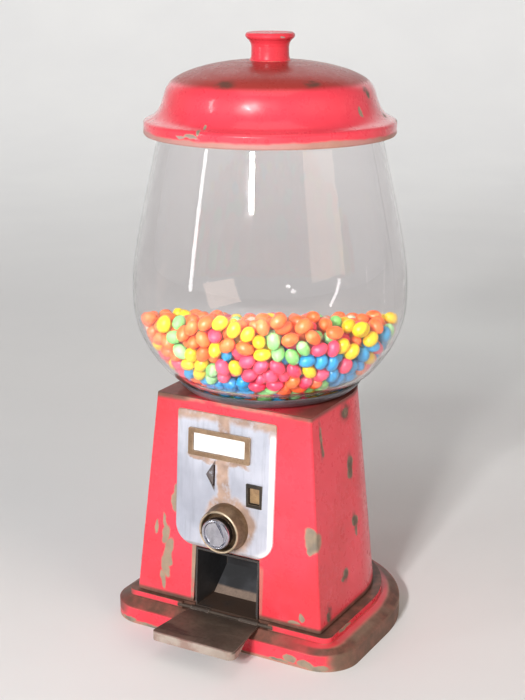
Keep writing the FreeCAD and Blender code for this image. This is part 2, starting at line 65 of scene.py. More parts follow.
# ------------------------------------------------------------------ material graphs
class Graph:
    def __init__(self, name, **bsdf):
        self.mat = bpy.data.materials.new(name)
        self.mat.use_nodes = True
        self.t = self.mat.node_tree
        self.t.nodes.clear()
        self.out = self.t.nodes.new("ShaderNodeOutputMaterial")
        self.b = self.t.nodes.new("ShaderNodeBsdfPrincipled")
        self.t.links.new(self.b.outputs[0], self.out.inputs[0])
        for k, v in bsdf.items():
            self.b.inputs[k.replace("_", " ")].default_value = v
        tc = self.t.nodes.new("ShaderNodeTexCoord")
        self.co = tc.outputs["Object"]
        self._xyz = None

    def put(self, sock, v):
        if isinstance(v, bpy.types.NodeSocket):
            self.t.links.new(v, sock)
        elif v is not None:
            if hasattr(sock.default_value, "__len__") and not hasattr(v, "__len__"):
                v = [v] * len(sock.default_value)
            if hasattr(v, "__len__") and len(v) == 3 and len(sock.default_value) == 4:
                v = list(v) + [1.0]
            sock.default_value = v

    def set(self, name, v):
        self.put(self.b.inputs[name], v)

    def m(self, op, a, b=None, c=None, clamp=False):
        n = self.t.nodes.new("ShaderNodeMath")
        n.operation = op
        n.use_clamp = clamp
        self.put(n.inputs[0], a)
        if b is not None:
            self.put(n.inputs[1], b)
        if c is not None:
            self.put(n.inputs[2], c)
        return n.outputs[0]

    def vm(self, op, a, b=None, out=0):
        n = self.t.nodes.new("ShaderNodeVectorMath")
        n.operation = op
        self.put(n.inputs[0], a)
        if b is not None:
            self.put(n.inputs[1], b)
        return n.outputs[out]

    def xyz(self):
        if self._xyz is None:
            n = self.t.nodes.new("ShaderNodeSeparateXYZ")
            self.put(n.inputs[0], self.co)
            self._xyz = n.outputs
        return self._xyz

    def stretch(self, sx, sy, sz):
        return self.vm("MULTIPLY", self.co, (sx, sy, sz))

    def noise(self, scale, detail=4.0, rough=0.55, vec=None, dist=0.0, seed=0.0):
        n = self.t.nodes.new("ShaderNodeTexNoise")
        n.inputs["Scale"].default_value = scale
        n.inputs["Detail"].default_value = detail
        n.inputs["Roughness"].default_value = rough
        n.inputs["Distortion"].default_value = dist
        v = vec if vec is not None else self.co
        if seed:
            v = self.vm("ADD", v, (seed, seed * 0.7, -seed))
        self.put(n.inputs["Vector"], v)
        return n.outputs[0]

    def step(self, v, lo, hi):
        """0 below lo, 1 above hi, smooth between; lo may be above hi."""
        n = self.t.nodes.new("ShaderNodeMapRange")
        n.interpolation_type = "SMOOTHSTEP"
        self.put(n.inputs["Value"], v)
        a, b = (lo, hi) if lo < hi else (hi, lo)
        n.inputs["From Min"].default_value = a
        n.inputs["From Max"].default_value = b
        n.inputs["To Min"].default_value = 0.0 if lo < hi else 1.0
        n.inputs["To Max"].default_value = 1.0 if lo < hi else 0.0
        return n.outputs[0]

    def mix(self, f, a, b):
        n = self.t.nodes.new("ShaderNodeMix")
        n.data_type = "RGBA"
        n.clamp_factor = True
        self.put(n.inputs[0], f)
        self.put(n.inputs[6], a)
        self.put(n.inputs[7], b)
        return n.outputs[2]

    def mixf(self, f, a, b):
        n = self.t.nodes.new("ShaderNodeMix")
        n.data_type = "FLOAT"
        n.clamp_factor = True
        self.put(n.inputs[0], f)
        self.put(n.inputs[2], a)
        self.put(n.inputs[3], b)
        return n.outputs[0]

    def bump(self, h, dist, strength=1.0, normal=None):
        n = self.t.nodes.new("ShaderNodeBump")
        n.inputs["Strength"].default_value = strength
        n.inputs["Distance"].default_value = dist
        self.put(n.inputs["Height"], h)
        if normal is not None:
            self.put(n.inputs["Normal"], normal)
        return n.outputs[0]

    def edge(self, radius):
        """1 on convex edges and 0 on flats, from the rounded normal."""
        bv = self.t.nodes.new("ShaderNodeBevel")
        bv.samples = 4
        bv.inputs["Radius"].default_value = radius
        g = self.t.nodes.new("ShaderNodeNewGeometry")
        d = self.vm("DOT_PRODUCT", bv.outputs[0], g.outputs["Normal"], out=1)
        return self.m("SUBTRACT", 1.0, d, clamp=True)

    def blobs(self, items, warp=0.004, wscale=150.0, soft=0.12):
        """Irregular patches: items are (x, y, z, rx, ry, rz, tilt in the front plane) in mm. 1 inside."""
        w = self.t.nodes.new("ShaderNodeTexNoise")
        w.inputs["Scale"].default_value = wscale
        w.inputs["Detail"].default_value = 3.0
        self.put(w.inputs["Vector"], self.co)
        off = self.vm("MULTIPLY", self.vm("SUBTRACT", w.outputs[1], (0.5, 0.5, 0.5)), (warp, warp, warp))
        p = self.vm("ADD", self.co, off)
        best = None
        for it in items:
            x, y, z, rx, ry, rz = it[:6]
            q = self.vm("SUBTRACT", p, (x / 1000, y / 1000, z / 1000))
            if len(it) > 6 and it[6]:
                r = self.t.nodes.new("ShaderNodeVectorRotate")
                r.rotation_type = "Y_AXIS"
                r.inputs["Angle"].default_value = math.radians(it[6])
                self.put(r.inputs["Vector"], q)
                q = r.outputs[0]
            q = self.vm("MULTIPLY", q, (1000.0 / rx, 1000.0 / ry, 1000.0 / rz))
            d = self.vm("LENGTH", q, out=1)
            best = d if best is None else self.m("MINIMUM", best, d)
        self.last = best
        return self.step(best, 1.0 + soft, 1.0 - soft)


def assign(objs, mat):
    for o in objs:
        o = N[o] if isinstance(o, str) else o
        if not o.data.materials:
            o.data.materials.append(mat)
        for i in range(len(o.data.materials)):
            o.data.materials[i] = mat
        for s in o.material_slots:
            s.material = mat


PAINT = (0.80, 0.052, 0.082)
PAINT_DEEP = (0.66, 0.036, 0.050)
BARE = (0.30, 0.235, 0.165)
BARE_DARK = (0.15, 0.140, 0.120)
TAN = (0.38, 0.28, 0.19)
GRIME = (0.105, 0.050, 0.034)


def paint(name, chips, grime=None, edge_r=0.0011, edge_lo=0.10, bare_extra=None, smudge=None, pale=None, core_at=None, film_and_top_shade=None, coat=0.25,
          coat_rough=0.08, spec=0.32):
    """Old gloss enamel over a casting: hue drift, orange peel, chips through a tan primer to grey metal, rubbed edges."""
    g = Graph(name, IOR=1.5, Coat_Weight=coat, Coat_Roughness=coat_rough, Specular_IOR_Level=spec)
    n1 = g.noise(12.0, 3.0)
    n2 = g.noise(120.0, 5.0, 0.65)
    n3 = g.noise(210.0, 6.0, 0.7, seed=9.0)
    col = g.mix(g.step(n1, 0.40, 0.72), PAINT, PAINT_DEEP)
    col = g.mix(g.m("MULTIPLY", g.step(g.noise(34.0, 4.0, seed=3.1), 0.52, 0.80), 0.6), col, (0.86, 0.085, 0.120))
    col = g.mix(g.m("MULTIPLY", g.step(n2, 0.60, 0.80), 0.12), col, (0.42, 0.03, 0.03))
    core = halo = None
    if chips:
        soft = g.blobs(chips, warp=0.0045, soft=0.16)
        d = g.m("ADD", g.last, g.m("MULTIPLY", g.m("SUBTRACT", g.noise(260.0, 3.0, seed=6.6), 0.5), 0.55))
        core = g.step(d, 0.92, 0.60)
        if core_at is not None:
            core = g.m("MULTIPLY", core, core_at(g))
        halo = soft
    fine = g.m("MULTIPLY", g.step(n3, 0.765, 0.790), g.step(g.noise(22.0, 2.0, seed=5.0), 0.54, 0.66))
    bare = fine if halo is None else g.m("MAXIMUM", halo, fine)
    e = g.edge(edge_r)
    rub = g.m("MULTIPLY", g.step(e, edge_lo * 0.35, edge_lo), g.step(g.noise(75.0, 5.0, 0.7, seed=2.0), 0.40, 0.58))
    bare = g.m("MAXIMUM", bare, g.m("MULTIPLY", rub, 0.85))
    if bare_extra is not None:
        bare = g.m("MAXIMUM", bare, bare_extra(g))
    primer = g.mix(g.step(g.noise(160.0, 4.0, seed=7.0), 0.35, 0.7), BARE, TAN)
    primer = g.mix(g.m("MULTIPLY", g.step(g.noise(330.0, 4.0, 0.7, seed=7.7), 0.45, 0.7), 0.5), primer, (0.34, 0.20, 0.155))
    if core is not None:
        primer = g.mix(g.m("MULTIPLY", core, 0.75), primer, g.mix(g.step(g.noise(90.0, 4.0, seed=4.3), 0.4, 0.62), BARE, BARE_DARK))
    if pale is not None:
        primer = g.mix(g.m("MULTIPLY", pale(g), g.step(g.noise(24.0, 3.0, seed=17.0), 0.30, 0.62)), primer, (0.40, 0.265, 0.235))
    dull = bare
    # the top face: a matte film lowers the gloss, and its darker colour is painted shade on the top
    if film_and_top_shade is not None:
        film_shade_mask = film_and_top_shade(g)
        col = g.mix(film_shade_mask, col, (0.29, 0.040, 0.029))
        dull = g.m("MAXIMUM", bare, film_shade_mask)
        g.set("Specular IOR Level", g.mixf(film_shade_mask, spec, 0.12))
    col = g.mix(bare, col, primer)
    rough = g.mixf(g.step(n2, 0.3, 0.75), 0.24, 0.38)
    if smudge:
        sm = g.m("MULTIPLY", g.blobs(smudge, warp=0.006, soft=0.55), g.step(g.noise(190.0, 5.0, 0.7, seed=1.9), 0.30, 0.58))
        col = g.mix(g.m("MULTIPLY", sm, 0.85), col, (0.085, 0.050, 0.036))
        rough = g.mixf(sm, rough, 0.6)
    # the grime mask also carries painted shade: the shell behind the coin slot and the recess where the tray hangs
    if grime is not None:
        grime_and_shade_mask = g.m("MULTIPLY", grime(g), g.step(g.noise(60.0, 5.0, 0.7, seed=4.0), 0.10, 0.36))
        dirt = g.mix(g.step(g.noise(90.0, 5.0, 0.7, seed=14.0), 0.4, 0.7), GRIME, (0.21, 0.080, 0.056))
        col = g.mix(grime_and_shade_mask, col, dirt)
        rough = g.mixf(grime_and_shade_mask, rough, 0.7)
    rough = g.mixf(bare, rough, 0.62)
    g.set("Base Color", col)
    g.set("Roughness", rough)
    g.set("Coat Weight", g.mixf(dull, coat, 0.0))
    h = g.m("ADD", g.m("SUBTRACT", 1.0, bare), g.m("MULTIPLY", n2, 0.022))
    h = g.m("ADD", h, g.m("MULTIPLY", g.noise(700.0, 2.0), 0.005))
    g.set("Normal", g.bump(h, 0.00035, 0.5))
    return g.mat


# chips on the lid: x, y, z, rx, ry, rz (mm)
LID_SMUDGE = [(2.0, -59.5, 372.4, 5.6, 6.5, 3.0), (48.8, -34.5, 372.5, 4.8, 5.6, 2.6), (-40.0, 30.0, 377.0, 6.0, 5.0, 2.5),
              (26.0, 54.0, 373.0, 6.0, 4.0, 2.5), (66.5, 3.5, 366.0, 2.0, 3.4, 4.8)]
LID_CHIPS = [
    (67.4, 4.0, 363.5, 1.6, 1.6, 2.6),
    (70.4, -10.9, 354.6, 3.0, 1.9, 3.2), (-2.4, -76.3, 347.4, 0.8, 2.6, 2.6, 35), (-4.6, -80.6, 345.0, 2.0, 3.0, 1.6),
    (-9.5, -81.4, 342.4, 5.5, 3.0, 1.5), (-17.0, -79.6, 341.4, 4.0, 3.0, 1.1), (70.0, 20.0, 349.0, 3.0, 3.0, 1.8),
    (-50.0, 45.0, 369.0, 4.0, 4.0, 2.0), (-67.0, 12.0, 360.0, 2.0, 3.0, 2.4), (20.0, 66.0, 358.0, 3.5, 2.5, 2.4),
    (75.0, 34.0, 344.0, 4.0, 6.0, 1.5), (-68.0, -44.0, 343.5, 4.0, 5.0, 1.4),
]


def lid_rim(g):
    """The rim's foot, rubbed to a pale tan band, higher in some places."""
    z = g.m("ADD", g.xyz()[2], g.m("MULTIPLY", g.m("SUBTRACT", g.noise(28.0, 4.0, 0.6, seed=1.0), 0.5), 0.006))
    return g.m("MULTIPLY", g.step(z, 0.3408, 0.3388), 0.82)


# the lid's top face is darkened by height: painted shade, with a matte film
lid_paint = paint("paint_lid", LID_CHIPS, edge_r=0.0009, edge_lo=0.30, smudge=LID_SMUDGE, bare_extra=lid_rim,
                  pale=lambda g: g.m("MULTIPLY", g.step(g.xyz()[2], 0.3440, 0.3415), 0.9),
                  film_and_top_shade=lambda g: g.m("MULTIPLY", g.step(g.m("ADD", g.xyz()[2], g.m("MULTIPLY", g.noise(30.0, 3.0, seed=2.7), 0.0016)),
                                                        0.3690, 0.3725), 0.88), coat=1.0, coat_rough=0.13, spec=0.45)
assign(["lid_shell"], lid_paint)
knob_chips = [(13.5, -7.5, 397.6, 1.6, 2.4, 0.6), (10.0, 8.0, 399.6, 2.0, 3.0, 0.6), (-12.0, 9.0, 398.0, 1.4, 2.4, 0.7)]
assign(["lid_knob"], paint("paint_lid_knob", knob_chips, edge_r=0.0009, edge_lo=0.30,
                           pale=lambda g: g.step(g.xyz()[2], 0.395, 0.397)))

BODY_CHIPS = [
    # front, left of the plate and beside the chute
    (-49.8, -58, 75.5, 1.3, 6, 5.5, 4), (-49.0, -59, 66.0, 2.6, 6, 7.5, -10), (-46.8, -59, 55.5, 3.4, 6, 9.0, -14),
    (-46.4, -60, 49.0, 3.2, 6, 6.0, 6), (-48.8, -60, 42.0, 3.0, 6, 7.5, 14), (-50.8, -61, 33.0, 1.9, 6, 7.0, 10), (-56.6, -59, 70.0, 1.5, 6, 5.5, -6),
    (-42.4, -57, 90.0, 2.4, 6, 7.0, 4), (-41.8, -57, 97.6, 1.5, 6, 5.5, 0),
    # front right corner, low right
    (61.4, -57, 88.0, 4.6, 8, 4.8, 0), (63.2, -57, 83.0, 5.4, 8, 7.4, 0), (61.6, -58, 77.5, 2.8, 8, 3.6, 0),
    (57.5, -61, 30.0, 1.8, 6, 3.2, 0), (52.0, -61, 25.6, 4.5, 6, 1.0, 0),
    # right side
    (59.2, -40.0, 149.0, 6, 1.7, 7.0), (60.0, -39.0, 140.0, 6, 1.3, 4.0), (62.4, -2.6, 120.0, 6, 4.6, 5.0), (63.1, -3.2, 113.5, 6, 4.0, 4.2),
    (66.3, -1.2, 79.0, 6, 4.8, 3.8), (67.0, -0.6, 71.0, 6, 1.7, 4.6), (69.0, -20.0, 47.8, 6, 4.2, 3.6), (69.0, -23.8, 46.0, 6, 3.4, 2.2),
    (59.4, -4.0, 155.2, 6, 4.2, 3.2), (70.6, -49.0, 28.6, 6, 2.4, 3.4),
    # left side and back
    (-61.0, -30.0, 132.0, 6, 2.4, 5.0), (-66.5, -10.0, 84.0, 6, 3.0, 4.0), (-69.0, -38.0, 50.0, 6, 2.4, 5.0), (-60.0, -8.0, 152.0, 6, 4.0, 3.0),
    (-48.0, 47.0, 110.0, 7, 7, 5.0), (30.0, 58.0, 126.0, 5, 6, 4.0), (55.0, 42.0, 70.0, 6, 6, 5.0),
    (5.0, 66.0, 92.0, 3.0, 8, 3.0), (-20.0, 70.0, 34.0, 5.0, 6, 2.0), (45.0, 40.0, 150.0, 5, 5, 3.0),
]
BODY_SMUDGE = [(62.4, -2.6, 118.0, 8, 3.6, 9.0), (66.3, -1.2, 78.0, 8, 3.2, 6.5), (59.2, -40.0, 147.0, 8, 1.8, 12.0), (59.4, -4.0, 156.0, 8, 7.0, 6.0),
               (69.5, -48.0, 30.0, 8, 4.0, 7.0), (69.0, -21.0, 47.0, 8, 4.4, 4.4)]


def body_grime_and_slot_shade(g):
    """Dirt in the joint at the foot, brown stains on the top face, and painted shade on the shell behind the coin slot.
    """
    x, y, z = g.xyz()
    low = g.step(z, 0.0262, 0.0234)
    n = g.m("MULTIPLY", g.m("SUBTRACT", g.noise(30.0, 3.0, seed=4.9), 0.5), 0.03)
    left = g.m("MULTIPLY", g.step(g.m("ADD", x, n), -0.026, -0.036), g.step(z, 0.1600, 0.1640))
    right = g.m("MULTIPLY", g.step(g.m("ADD", x, n), 0.030, 0.048), g.step(z, 0.1612, 0.1645))
    back = g.m("MULTIPLY", g.step(g.m("ADD", y, n), -0.030, -0.010), g.step(z, 0.1612, 0.1645))
    top = g.m("MULTIPLY", g.m("MAXIMUM", left, g.m("MAXIMUM", right, back)), 0.85)
    # painted shade: the shell behind the coin slot is darkened with the dirt colour
    slot_shade = g.m("MULTIPLY", g.step(g.m("ABSOLUTE", g.m("ADD", x, 0.0113)), 0.0065, 0.0050), g.m("MULTIPLY",
               g.step(g.m("ABSOLUTE", g.m("SUBTRACT", z, 0.1150)), 0.0125, 0.0105), g.step(y, -0.0400, -0.0450)))
    return g.m("MAXIMUM", g.m("MAXIMUM", low, top), g.m("MULTIPLY", slot_shade, 1.3))


def body_bare(g):
    """The top edge rubbed to tan and the chute's cut edges."""
    z, x = g.xyz()[2], g.m("ABSOLUTE", g.xyz()[0])
    top = g.m("MULTIPLY", g.step(z, 0.1618, 0.1638), g.step(g.xyz()[1], -0.0485, -0.0505))
    top = g.m("MULTIPLY", top, g.m("MULTIPLY", g.step(g.noise(40.0, 4.0, 0.7, seed=8.0), 0.36, 0.56), 0.8))
    cut = g.m("MULTIPLY", g.step(g.m("ABSOLUTE", g.m("SUBTRACT", x, 0.0258)), 0.0026, 0.0014), g.step(g.xyz()[1], -0.050, -0.054))
    w = g.mixf(g.step(g.xyz()[0], -0.001, 0.001), 0.95, 0.45)
    cut = g.m("MULTIPLY", g.m("MULTIPLY", cut, w), g.m("MULTIPLY", g.step(z, 0.066, 0.063), g.step(g.noise(60.0, 3.0, seed=6.0), 0.30, 0.48)))
    return g.m("MAXIMUM", top, cut)


body_paint = paint("paint_body", BODY_CHIPS, grime=body_grime_and_slot_shade, edge_r=0.0011, edge_lo=0.22, bare_extra=body_bare, smudge=BODY_SMUDGE,
                   core_at=lambda g: g.step(g.xyz()[0], 0.0560, 0.0620))
assign(["body_shell"], body_paint)
assign(["cash_drawer"], paint("paint_drawer", [(-28.0, 70.0, 35.0, 4, 9, 3), (22.0, 70.0, 52.0, 3, 9, 3)], edge_r=0.0009, edge_lo=0.14))

BASE_CHIPS = [
    (54.7, -71.5, 4.8, 5.0, 6, 2.6), (46.0, -71.5, 1.6, 8.0, 6, 1.3), (66.0, -71.0, 3.6, 6.0, 6, 2.8), (74.0, -70.0, 2.0, 9.0, 6, 2.4),
    (-40.0, -71.5, 1.2, 10.0, 6, 1.2), (-74.0, -71.0, 2.0, 8.0, 6, 1.6), (-56.0, -71.5, 1.0, 8.0, 6, 1.0), (14.0, -71.5, 1.0, 9.0, 6, 1.0),
    (-90.0, -20.0, 6.0, 6, 12.0, 3.0), (-60.0, 66.0, 6.0, 10, 10, 4.0), (20.0, 89.0, 5.0, 14, 8, 3.5), (78.6, -40.0, 19.0, 3.0, 9.0, 1.6),
]


def base_grime_and_tray_recess_shade(g):
    """A brown band of dirt on the sloping top, dark dirt in the groove at the top, and painted shade in the recess
    where the tray hangs.
    """
    z = g.m("ADD", g.xyz()[2], g.m("MULTIPLY", g.m("SUBTRACT", g.noise(50.0, 4.0, seed=21.0), 0.5), 0.0009))
    x, y = g.xyz()[0], g.xyz()[1]
    n = g.m("MULTIPLY", g.m("SUBTRACT", g.noise(24.0, 4.0, 0.6, seed=22.0), 0.5), 0.030)
    slope = g.m("MULTIPLY", g.step(z, 0.0106, 0.0120), g.step(z, 0.0176, 0.0168))
    inner = g.m("MULTIPLY", g.step(g.m("ADD", x, n), 0.052, 0.072), g.step(z, 0.0140, 0.0152))
    slope = g.m("MULTIPLY", slope, g.m("SUBTRACT", 1.0, g.m("MULTIPLY", inner, 0.72)))
    slope = g.m("MULTIPLY", slope, g.mixf(g.step(g.noise(18.0, 4.0, 0.6, seed=23.0), 0.36, 0.56), 0.62, 1.0))
    left = g.m("MULTIPLY", g.step(g.m("ADD", x, g.m("MULTIPLY", n, 0.5)), -0.070, -0.081), g.m("MULTIPLY", g.step(z, 0.0030, 0.0065), 0.82))
    worn = g.m("MULTIPLY", g.step(g.m("ADD", x, n), 0.078, 0.088), g.m("MULTIPLY", g.step(z, 0.0150, 0.0120), 0.80))
    slope = g.m("MAXIMUM", slope, g.m("MAXIMUM", left, worn))
    groove = g.step(z, 0.0204, 0.0209)
    # painted shade: the recess where the tray hangs is darkened strongly
    notch_shade = g.m("MULTIPLY", g.step(g.m("ABSOLUTE", g.xyz()[0]), 0.0385, 0.0350),
                g.m("MULTIPLY", g.step(g.xyz()[1], -0.0590, -0.0606), g.step(z, 0.0116, 0.0124)))
    return g.m("MAXIMUM", g.m("MAXIMUM", slope, groove), g.m("MULTIPLY", notch_shade, 1.4))


def base_bare(g):
    """The right side and the front right corner are worn right through; the foot is rubbed all round."""
    x, y, z = g.xyz()
    n = g.m("MULTIPLY", g.m("SUBTRACT", g.noise(26.0, 5.0, 0.65, seed=31.0), 0.5), 0.030)
    side = g.step(g.m("ADD", g.m("ADD", x, n), g.m("MULTIPLY", g.m("ADD", y, 0.0715), 0.10)), 0.074, 0.083)
    low = g.m("MULTIPLY", g.step(z, 0.0158, 0.0140), side)
    foot = g.m("MULTIPLY", g.step(g.m("ADD", z, g.m("MULTIPLY", n, 0.12)), 0.0028, 0.0010), 0.8)
    return g.m("MAXIMUM", low, foot)


base_paint = paint("paint_base", BASE_CHIPS, grime=base_grime_and_tray_recess_shade, edge_r=0.0010, edge_lo=0.16, bare_extra=base_bare)
assign(["base_casting"], base_paint)


# ------------------------------------------------------------------ metals
def metal(name, base, dark, rough=(0.3, 0.5), metallic=1.0, scale=60.0, streak=None, grime=0.25, edge_light=None, bump=0.00008,
          wear=None, aniso=0.0):
    """Worn bare metal: tone drift, fine scratches, dirt in patches and brighter rubbed edges."""
    g = Graph(name, Metallic=metallic, IOR=1.5)
    if aniso:
        g.b.inputs["Anisotropic"].default_value = aniso
    a = g.noise(scale, 5.0, 0.6)
    vec = g.stretch(*streak) if streak else None
    s = g.noise(scale * 9.0, 3.0, 0.6, vec=vec, seed=2.0)
    col = g.mix(g.step(a, 0.35, 0.7), base, dark)
    col = g.mix(g.m("MULTIPLY", g.step(s, 0.45, 0.75), 0.35), col, [c * 0.6 for c in dark])
    d = g.step(g.noise(scale * 0.6, 6.0, 0.7, seed=5.0), 0.5, 0.75)
    col = g.mix(g.m("MULTIPLY", d, grime), col, (0.06, 0.045, 0.033))
    r = g.mixf(s, rough[0], rough[1])
    if edge_light is not None:
        e = g.m("MULTIPLY", g.step(g.edge(0.0006), 0.03, 0.16), g.step(g.noise(130.0, 3.0, seed=3.0), 0.3, 0.5))
        col = g.mix(e, col, edge_light)
        r = g.mixf(e, r, rough[0])
    if wear is not None:
        col, r = wear(g, col, r)
    g.set("Base Color", col)
    g.set("Roughness", r)
    g.set("Normal", g.bump(g.m("ADD", g.m("MULTIPLY", s, 0.6), g.m("MULTIPLY", a, 0.8)), bump, 0.5))
    return g.mat


def plate_wear_and_highlight(g, col, r):
    """Brown stains: along the top, down the middle strip, round the knob and at the foot of the label; a painted
    highlight along the right edge and the lower right corner.
    """
    x, y, z = g.xyz()
    n = g.noise(42.0, 5.0, 0.6, seed=1.3)
    wob = g.m("MULTIPLY", g.m("SUBTRACT", n, 0.5), 0.014)
    zz = g.m("ADD", z, wob)
    xx = g.m("ADD", x, g.m("MULTIPLY", g.m("SUBTRACT", g.noise(60.0, 4.0, seed=8.0), 0.5), 0.010))
    top = g.step(zz, 0.1495, 0.1545)
    mid = g.m("MULTIPLY", g.step(g.m("ABSOLUTE", g.m("ADD", xx, 0.0035)), 0.0062, 0.0036), g.step(zz, 0.090, 0.098))
    dx, dz = g.m("SUBTRACT", xx, 0.0015), g.m("SUBTRACT", zz, 0.0835)
    rad = g.m("SQRT", g.m("ADD", g.m("MULTIPLY", dx, dx), g.m("MULTIPLY", dz, dz)))
    ring = g.step(rad, 0.0225, 0.0180)
    lab = g.m("MULTIPLY", g.step(g.m("ABSOLUTE", g.m("SUBTRACT", zz, 0.1262)), 0.0022, 0.0008),
              g.step(g.m("ABSOLUTE", g.m("ADD", xx, 0.008)), 0.026, 0.021))
    f = g.m("MAXIMUM", g.m("MAXIMUM", top, mid), g.m("MAXIMUM", ring, lab))
    right = g.m("MULTIPLY", g.step(xx, 0.0290, 0.0320), g.step(zz, 0.120, 0.150))
    f = g.m("MAXIMUM", f, g.m("MULTIPLY", right, 0.7))
    tri = g.m("MULTIPLY", g.m("MULTIPLY", g.step(x, -0.0178, -0.0168), g.step(x, -0.0098, -0.0106)),
              g.step(g.m("SUBTRACT", g.m("ABSOLUTE", g.m("SUBTRACT", z, 0.1154)), g.m("MULTIPLY", g.m("ADD", x, 0.0172), 1.55)), 0.0008, -0.0004))
    tri = g.m("MULTIPLY", tri, g.step(g.noise(300.0, 4.0, 0.7, seed=2.8), 0.20, 0.48))
    f = g.m("MULTIPLY", f, g.step(g.noise(110.0, 5.0, 0.7, seed=4.4), 0.18, 0.52))
    stain = g.mix(g.step(g.noise(70.0, 4.0, seed=6.0), 0.35, 0.65), (0.48, 0.31, 0.22), (0.27, 0.165, 0.11))
    col = g.mix(g.m("MULTIPLY", f, 0.93), col, stain)
    cold = g.m("MULTIPLY", g.step(g.noise(16.0, 3.0, seed=2.2), 0.5, 0.62), 0.5)
    col = g.mix(g.m("MULTIPLY", cold, g.m("SUBTRACT", 1.0, f)), col, (0.42, 0.44, 0.52))
    col = g.mix(g.m("MULTIPLY", tri, 0.9), col, (0.085, 0.055, 0.042))
    r = g.mixf(f, r, 0.66)
    # painted highlight: a near-white, less metallic strip along the right edge and the lower right corner
    edge_highlight = g.m("MULTIPLY", g.step(g.m("ADD", x, g.m("MULTIPLY", g.m("SUBTRACT", n, 0.5), 0.0012)), 0.0296, 0.0316), g.step(z, 0.1520, 0.1460))
    corner = g.m("MULTIPLY", g.step(g.m("SUBTRACT", x, g.m("MULTIPLY", z, 1.6)), -0.0880, -0.0800), g.step(x, 0.014, 0.026))
    edge_highlight = g.m("MULTIPLY", g.m("MAXIMUM", edge_highlight, g.m("MULTIPLY", corner, 0.8)), g.step(g.noise(48.0, 4.0, seed=3.3), 0.22, 0.42))
    col = g.mix(edge_highlight, col, (0.95, 0.95, 0.98))
    foot = g.m("MULTIPLY", g.step(z, 0.0668, 0.0648), g.step(g.noise(70.0, 4.0, seed=5.5), 0.30, 0.52))
    col = g.mix(g.m("MULTIPLY", foot, 0.55), col, (0.30, 0.21, 0.155))
    g.set("Metallic", g.mixf(g.m("MAXIMUM", g.m("MAXIMUM", f, tri), g.m("MULTIPLY", edge_highlight, 0.5)), 0.80, 0.10))
    return col, r


assign(["faceplate"], metal("steel_plate", (0.74, 0.76, 0.86), (0.58, 0.61, 0.71), rough=(0.32, 0.46), scale=30.0,
                            streak=(1.0, 1.0, 0.10), grime=0.08, edge_light=(0.92, 0.92, 0.95), wear=plate_wear_and_highlight))
assign(["label_frame"], metal("label_bronze", (0.40, 0.27, 0.17), (0.26, 0.165, 0.10), rough=(0.38, 0.6), metallic=0.7, scale=90.0,
                              edge_light=(0.58, 0.45, 0.33)))
assign(["knob_bezel"], metal("bezel_bronze", (0.30, 0.20, 0.115), (0.15, 0.095, 0.055), rough=(0.36, 0.6), metallic=0.75, scale=85.0,
                             edge_light=(0.66, 0.55, 0.40),
                             wear=lambda g, c, r: (g.mix(g.m("MULTIPLY", g.step(g.xyz()[1], -0.0692, -0.0702),
                                                             g.step(g.noise(150.0, 3.0), 0.30, 0.46)), c, (0.62, 0.50, 0.35)), r)))
assign(["turn_knob", "drawer_lock"], metal("chrome_worn", (0.62, 0.62, 0.68), (0.42, 0.42, 0.48), rough=(0.18, 0.32), scale=70.0, grime=0.12,
                                           edge_light=(0.95, 0.95, 0.97), bump=0.00003))
assign(["button_bezel"], metal("button_bezel_dark", (0.055, 0.045, 0.035), (0.03, 0.025, 0.02), rough=(0.4, 0.6), metallic=0.5,
                               edge_light=(0.22, 0.17, 0.12), scale=120.0))
assign(["return_button"], metal("button_brass", (0.55, 0.36, 0.19), (0.36, 0.22, 0.12), rough=(0.35, 0.55), metallic=0.7, scale=160.0,
                                edge_light=(0.75, 0.58, 0.38)))
assign(["globe_collar"], metal("collar_zinc", (0.20, 0.20, 0.225), (0.125, 0.125, 0.14), rough=(0.30, 0.45), metallic=0.7, scale=60.0,
                               edge_light=(0.34, 0.32, 0.33)))
STEEL = metal("inner_steel", (0.50, 0.50, 0.52), (0.34, 0.34, 0.36), rough=(0.3, 0.5), scale=90.0, edge_light=(0.7, 0.7, 0.72))
assign(["base_screws", "coin_chute", "bracket_screws", "pawl_pin", "cutoff_plate", "drawer_rails", "knob_shaft",
        "ratchet_wheel", "shaft_clip", "wheel_shaft", "agitator", "pawl", "lid_screw", "lid_seat"], STEEL)
BRASS = metal("inner_brass", (0.62, 0.43, 0.19), (0.42, 0.27, 0.11), rough=(0.28, 0.46), scale=90.0, edge_light=(0.85, 0.66, 0.36))
assign(["knob_bush", "wheel_bush", "coin_drum", "drive_pinion", "crown_gear"], BRASS)
assign(["mech_bracket", "wheel_housing"], metal("cast_zinc", (0.20, 0.20, 0.21), (0.12, 0.12, 0.13), rough=(0.45, 0.65), metallic=0.8,
                                                scale=120.0, edge_light=(0.4, 0.4, 0.42), bump=0.0002))


